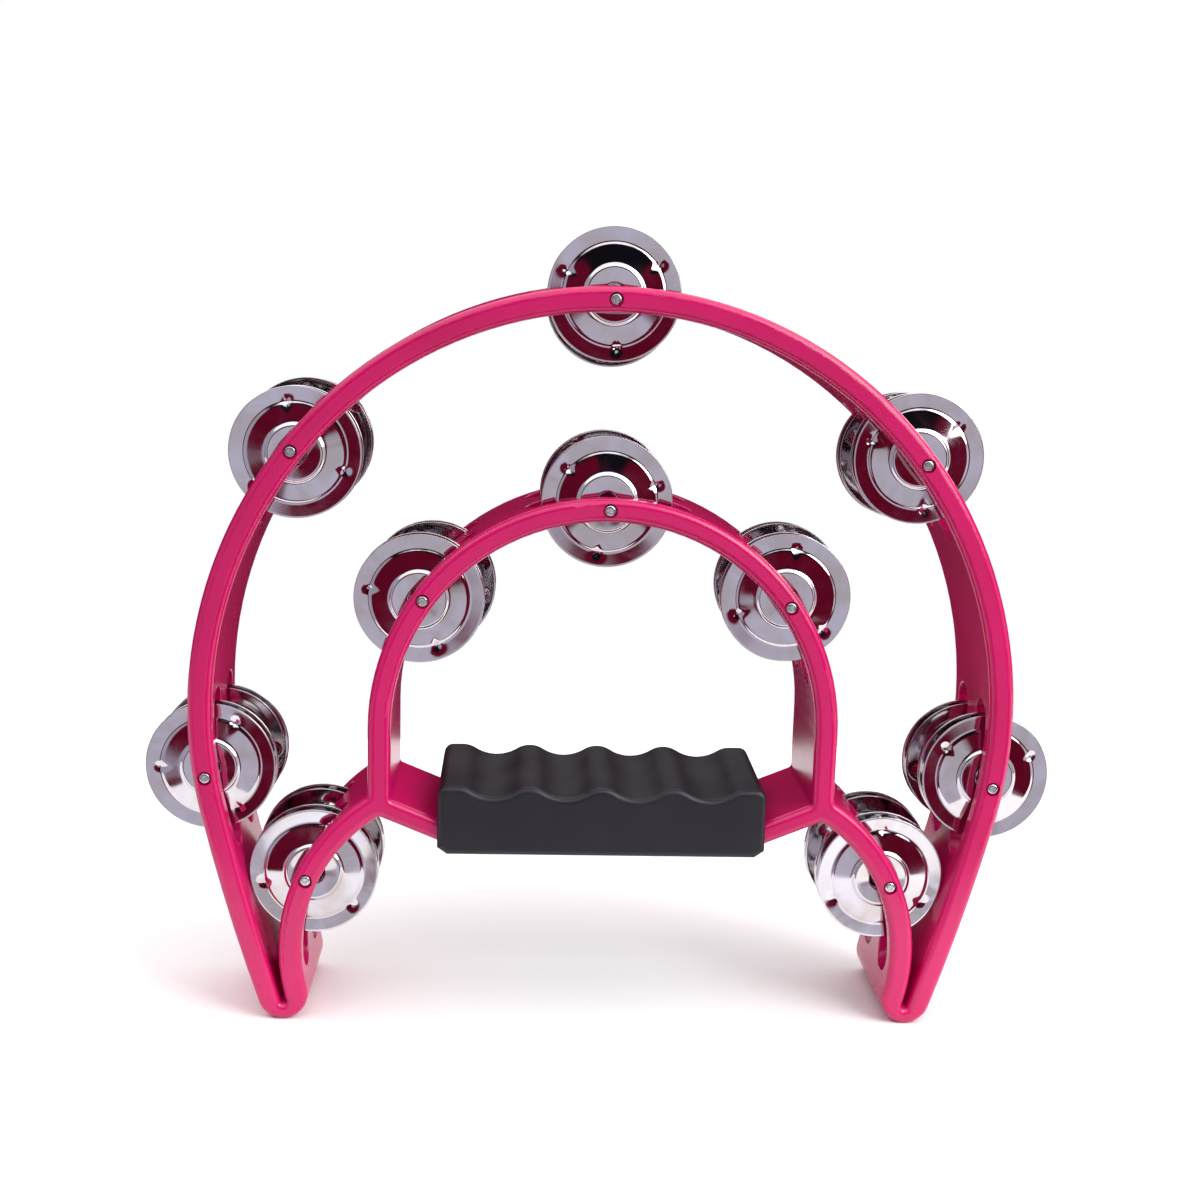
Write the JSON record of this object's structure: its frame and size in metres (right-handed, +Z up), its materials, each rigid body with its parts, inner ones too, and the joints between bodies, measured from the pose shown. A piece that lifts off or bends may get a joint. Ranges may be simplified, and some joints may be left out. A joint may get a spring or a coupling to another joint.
{
  "type": "half-moon hand tambourine",
  "caption": "Hand tambourine: a half-moon plastic frame with two arches, metal jingle pairs on pins in slots, and a straight finger-grooved grip.",
  "frame": {"origin": "on the surface the two feet stand on, midway between the feet and between the rims", "axes": "+X to the player's right along the grip, +Y from the front rim to the back rim, +Z up from the feet to the top of the arch"},
  "size_m": [0.2782, 0.05, 0.2433],
  "materials": {
    "frame_plastic": "gloss",
    "grip_plastic": "matte",
    "jingle_metal": "polished",
    "pin_steel": "satin"
  },
  "bodies": {
    "tambourine_body": {"frame": "frame_plastic", "grip_upper": "grip_plastic", "grip_lower": "grip_plastic", "pin_arch_top": "pin_steel", "pin_arch_upper_left": "pin_steel", "pin_arch_upper_right": "pin_steel", "pin_arch_lower_left": "pin_steel", "pin_arch_lower_right": "pin_steel", "pin_inner_top": "pin_steel", "pin_inner_left": "pin_steel", "pin_inner_right": "pin_steel", "pin_leg_left": "pin_steel", "pin_leg_right": "pin_steel"},
    "jingle_arch_top_front_1": {"jingle_arch_top_front_1": "jingle_metal"},
    "jingle_arch_top_front_2": {"jingle_arch_top_front_2": "jingle_metal"},
    "jingle_arch_top_back_1": {"jingle_arch_top_back_1": "jingle_metal"},
    "jingle_arch_top_back_2": {"jingle_arch_top_back_2": "jingle_metal"},
    "jingle_arch_upper_left_front_1": {"jingle_arch_upper_left_front_1": "jingle_metal"},
    "jingle_arch_upper_left_front_2": {"jingle_arch_upper_left_front_2": "jingle_metal"},
    "jingle_arch_upper_left_back_1": {"jingle_arch_upper_left_back_1": "jingle_metal"},
    "jingle_arch_upper_left_back_2": {"jingle_arch_upper_left_back_2": "jingle_metal"},
    "jingle_arch_upper_right_front_1": {"jingle_arch_upper_right_front_1": "jingle_metal"},
    "jingle_arch_upper_right_front_2": {"jingle_arch_upper_right_front_2": "jingle_metal"},
    "jingle_arch_upper_right_back_1": {"jingle_arch_upper_right_back_1": "jingle_metal"},
    "jingle_arch_upper_right_back_2": {"jingle_arch_upper_right_back_2": "jingle_metal"},
    "jingle_arch_lower_left_front_1": {"jingle_arch_lower_left_front_1": "jingle_metal"},
    "jingle_arch_lower_left_front_2": {"jingle_arch_lower_left_front_2": "jingle_metal"},
    "jingle_arch_lower_left_back_1": {"jingle_arch_lower_left_back_1": "jingle_metal"},
    "jingle_arch_lower_left_back_2": {"jingle_arch_lower_left_back_2": "jingle_metal"},
    "jingle_arch_lower_right_front_1": {"jingle_arch_lower_right_front_1": "jingle_metal"},
    "jingle_arch_lower_right_front_2": {"jingle_arch_lower_right_front_2": "jingle_metal"},
    "jingle_arch_lower_right_back_1": {"jingle_arch_lower_right_back_1": "jingle_metal"},
    "jingle_arch_lower_right_back_2": {"jingle_arch_lower_right_back_2": "jingle_metal"},
    "jingle_inner_top_front_1": {"jingle_inner_top_front_1": "jingle_metal"},
    "jingle_inner_top_front_2": {"jingle_inner_top_front_2": "jingle_metal"},
    "jingle_inner_top_back_1": {"jingle_inner_top_back_1": "jingle_metal"},
    "jingle_inner_top_back_2": {"jingle_inner_top_back_2": "jingle_metal"},
    "jingle_inner_left_front_1": {"jingle_inner_left_front_1": "jingle_metal"},
    "jingle_inner_left_front_2": {"jingle_inner_left_front_2": "jingle_metal"},
    "jingle_inner_left_back_1": {"jingle_inner_left_back_1": "jingle_metal"},
    "jingle_inner_left_back_2": {"jingle_inner_left_back_2": "jingle_metal"},
    "jingle_inner_right_front_1": {"jingle_inner_right_front_1": "jingle_metal"},
    "jingle_inner_right_front_2": {"jingle_inner_right_front_2": "jingle_metal"},
    "jingle_inner_right_back_1": {"jingle_inner_right_back_1": "jingle_metal"},
    "jingle_inner_right_back_2": {"jingle_inner_right_back_2": "jingle_metal"},
    "jingle_leg_left_front_1": {"jingle_leg_left_front_1": "jingle_metal"},
    "jingle_leg_left_front_2": {"jingle_leg_left_front_2": "jingle_metal"},
    "jingle_leg_left_back_1": {"jingle_leg_left_back_1": "jingle_metal"},
    "jingle_leg_left_back_2": {"jingle_leg_left_back_2": "jingle_metal"},
    "jingle_leg_right_front_1": {"jingle_leg_right_front_1": "jingle_metal"},
    "jingle_leg_right_front_2": {"jingle_leg_right_front_2": "jingle_metal"},
    "jingle_leg_right_back_1": {"jingle_leg_right_back_1": "jingle_metal"},
    "jingle_leg_right_back_2": {"jingle_leg_right_back_2": "jingle_metal"}
  },
  "joints": [
    {"name": "jingle_arch_top_front_1_slide", "type": "slide", "parent": "tambourine_body", "child": "jingle_arch_top_front_1", "axis": [0, 1, 0], "range_m": [-0.0002, 0.0013]},
    {"name": "jingle_arch_top_front_2_slide", "type": "slide", "parent": "tambourine_body", "child": "jingle_arch_top_front_2", "axis": [0, 1, 0], "range_m": [-0.0013, 0.0002]},
    {"name": "jingle_arch_top_back_1_slide", "type": "slide", "parent": "tambourine_body", "child": "jingle_arch_top_back_1", "axis": [0, 1, 0], "range_m": [-0.0002, 0.0013]},
    {"name": "jingle_arch_top_back_2_slide", "type": "slide", "parent": "tambourine_body", "child": "jingle_arch_top_back_2", "axis": [0, 1, 0], "range_m": [-0.0013, 0.0002]},
    {"name": "jingle_arch_upper_left_front_1_slide", "type": "slide", "parent": "tambourine_body", "child": "jingle_arch_upper_left_front_1", "axis": [0, 1, 0], "range_m": [-0.0002, 0.0013]},
    {"name": "jingle_arch_upper_left_front_2_slide", "type": "slide", "parent": "tambourine_body", "child": "jingle_arch_upper_left_front_2", "axis": [0, 1, 0], "range_m": [-0.0013, 0.0002]},
    {"name": "jingle_arch_upper_left_back_1_slide", "type": "slide", "parent": "tambourine_body", "child": "jingle_arch_upper_left_back_1", "axis": [0, 1, 0], "range_m": [-0.0002, 0.0013]},
    {"name": "jingle_arch_upper_left_back_2_slide", "type": "slide", "parent": "tambourine_body", "child": "jingle_arch_upper_left_back_2", "axis": [0, 1, 0], "range_m": [-0.0013, 0.0002]},
    {"name": "jingle_arch_upper_right_front_1_slide", "type": "slide", "parent": "tambourine_body", "child": "jingle_arch_upper_right_front_1", "axis": [0, 1, 0], "range_m": [-0.0002, 0.0013]},
    {"name": "jingle_arch_upper_right_front_2_slide", "type": "slide", "parent": "tambourine_body", "child": "jingle_arch_upper_right_front_2", "axis": [0, 1, 0], "range_m": [-0.0013, 0.0002]},
    {"name": "jingle_arch_upper_right_back_1_slide", "type": "slide", "parent": "tambourine_body", "child": "jingle_arch_upper_right_back_1", "axis": [0, 1, 0], "range_m": [-0.0002, 0.0013]},
    {"name": "jingle_arch_upper_right_back_2_slide", "type": "slide", "parent": "tambourine_body", "child": "jingle_arch_upper_right_back_2", "axis": [0, 1, 0], "range_m": [-0.0013, 0.0002]},
    {"name": "jingle_arch_lower_left_front_1_slide", "type": "slide", "parent": "tambourine_body", "child": "jingle_arch_lower_left_front_1", "axis": [0, 1, 0], "range_m": [-0.0002, 0.0013]},
    {"name": "jingle_arch_lower_left_front_2_slide", "type": "slide", "parent": "tambourine_body", "child": "jingle_arch_lower_left_front_2", "axis": [0, 1, 0], "range_m": [-0.0013, 0.0002]},
    {"name": "jingle_arch_lower_left_back_1_slide", "type": "slide", "parent": "tambourine_body", "child": "jingle_arch_lower_left_back_1", "axis": [0, 1, 0], "range_m": [-0.0002, 0.0013]},
    {"name": "jingle_arch_lower_left_back_2_slide", "type": "slide", "parent": "tambourine_body", "child": "jingle_arch_lower_left_back_2", "axis": [0, 1, 0], "range_m": [-0.0013, 0.0002]},
    {"name": "jingle_arch_lower_right_front_1_slide", "type": "slide", "parent": "tambourine_body", "child": "jingle_arch_lower_right_front_1", "axis": [0, 1, 0], "range_m": [-0.0002, 0.0013]},
    {"name": "jingle_arch_lower_right_front_2_slide", "type": "slide", "parent": "tambourine_body", "child": "jingle_arch_lower_right_front_2", "axis": [0, 1, 0], "range_m": [-0.0013, 0.0002]},
    {"name": "jingle_arch_lower_right_back_1_slide", "type": "slide", "parent": "tambourine_body", "child": "jingle_arch_lower_right_back_1", "axis": [0, 1, 0], "range_m": [-0.0002, 0.0013]},
    {"name": "jingle_arch_lower_right_back_2_slide", "type": "slide", "parent": "tambourine_body", "child": "jingle_arch_lower_right_back_2", "axis": [0, 1, 0], "range_m": [-0.0013, 0.0002]},
    {"name": "jingle_inner_top_front_1_slide", "type": "slide", "parent": "tambourine_body", "child": "jingle_inner_top_front_1", "axis": [0, 1, 0], "range_m": [-0.0002, 0.0013]},
    {"name": "jingle_inner_top_front_2_slide", "type": "slide", "parent": "tambourine_body", "child": "jingle_inner_top_front_2", "axis": [0, 1, 0], "range_m": [-0.0013, 0.0002]},
    {"name": "jingle_inner_top_back_1_slide", "type": "slide", "parent": "tambourine_body", "child": "jingle_inner_top_back_1", "axis": [0, 1, 0], "range_m": [-0.0002, 0.0013]},
    {"name": "jingle_inner_top_back_2_slide", "type": "slide", "parent": "tambourine_body", "child": "jingle_inner_top_back_2", "axis": [0, 1, 0], "range_m": [-0.0013, 0.0002]},
    {"name": "jingle_inner_left_front_1_slide", "type": "slide", "parent": "tambourine_body", "child": "jingle_inner_left_front_1", "axis": [0, 1, 0], "range_m": [-0.0002, 0.0013]},
    {"name": "jingle_inner_left_front_2_slide", "type": "slide", "parent": "tambourine_body", "child": "jingle_inner_left_front_2", "axis": [0, 1, 0], "range_m": [-0.0013, 0.0002]},
    {"name": "jingle_inner_left_back_1_slide", "type": "slide", "parent": "tambourine_body", "child": "jingle_inner_left_back_1", "axis": [0, 1, 0], "range_m": [-0.0002, 0.0013]},
    {"name": "jingle_inner_left_back_2_slide", "type": "slide", "parent": "tambourine_body", "child": "jingle_inner_left_back_2", "axis": [0, 1, 0], "range_m": [-0.0013, 0.0002]},
    {"name": "jingle_inner_right_front_1_slide", "type": "slide", "parent": "tambourine_body", "child": "jingle_inner_right_front_1", "axis": [0, 1, 0], "range_m": [-0.0002, 0.0013]},
    {"name": "jingle_inner_right_front_2_slide", "type": "slide", "parent": "tambourine_body", "child": "jingle_inner_right_front_2", "axis": [0, 1, 0], "range_m": [-0.0013, 0.0002]},
    {"name": "jingle_inner_right_back_1_slide", "type": "slide", "parent": "tambourine_body", "child": "jingle_inner_right_back_1", "axis": [0, 1, 0], "range_m": [-0.0002, 0.0013]},
    {"name": "jingle_inner_right_back_2_slide", "type": "slide", "parent": "tambourine_body", "child": "jingle_inner_right_back_2", "axis": [0, 1, 0], "range_m": [-0.0013, 0.0002]},
    {"name": "jingle_leg_left_front_1_slide", "type": "slide", "parent": "tambourine_body", "child": "jingle_leg_left_front_1", "axis": [0, 1, 0], "range_m": [-0.0002, 0.0013]},
    {"name": "jingle_leg_left_front_2_slide", "type": "slide", "parent": "tambourine_body", "child": "jingle_leg_left_front_2", "axis": [0, 1, 0], "range_m": [-0.0013, 0.0002]},
    {"name": "jingle_leg_left_back_1_slide", "type": "slide", "parent": "tambourine_body", "child": "jingle_leg_left_back_1", "axis": [0, 1, 0], "range_m": [-0.0002, 0.0013]},
    {"name": "jingle_leg_left_back_2_slide", "type": "slide", "parent": "tambourine_body", "child": "jingle_leg_left_back_2", "axis": [0, 1, 0], "range_m": [-0.0013, 0.0002]},
    {"name": "jingle_leg_right_front_1_slide", "type": "slide", "parent": "tambourine_body", "child": "jingle_leg_right_front_1", "axis": [0, 1, 0], "range_m": [-0.0002, 0.0013]},
    {"name": "jingle_leg_right_front_2_slide", "type": "slide", "parent": "tambourine_body", "child": "jingle_leg_right_front_2", "axis": [0, 1, 0], "range_m": [-0.0013, 0.0002]},
    {"name": "jingle_leg_right_back_1_slide", "type": "slide", "parent": "tambourine_body", "child": "jingle_leg_right_back_1", "axis": [0, 1, 0], "range_m": [-0.0002, 0.0013]},
    {"name": "jingle_leg_right_back_2_slide", "type": "slide", "parent": "tambourine_body", "child": "jingle_leg_right_back_2", "axis": [0, 1, 0], "range_m": [-0.0013, 0.0002]}
  ]
}
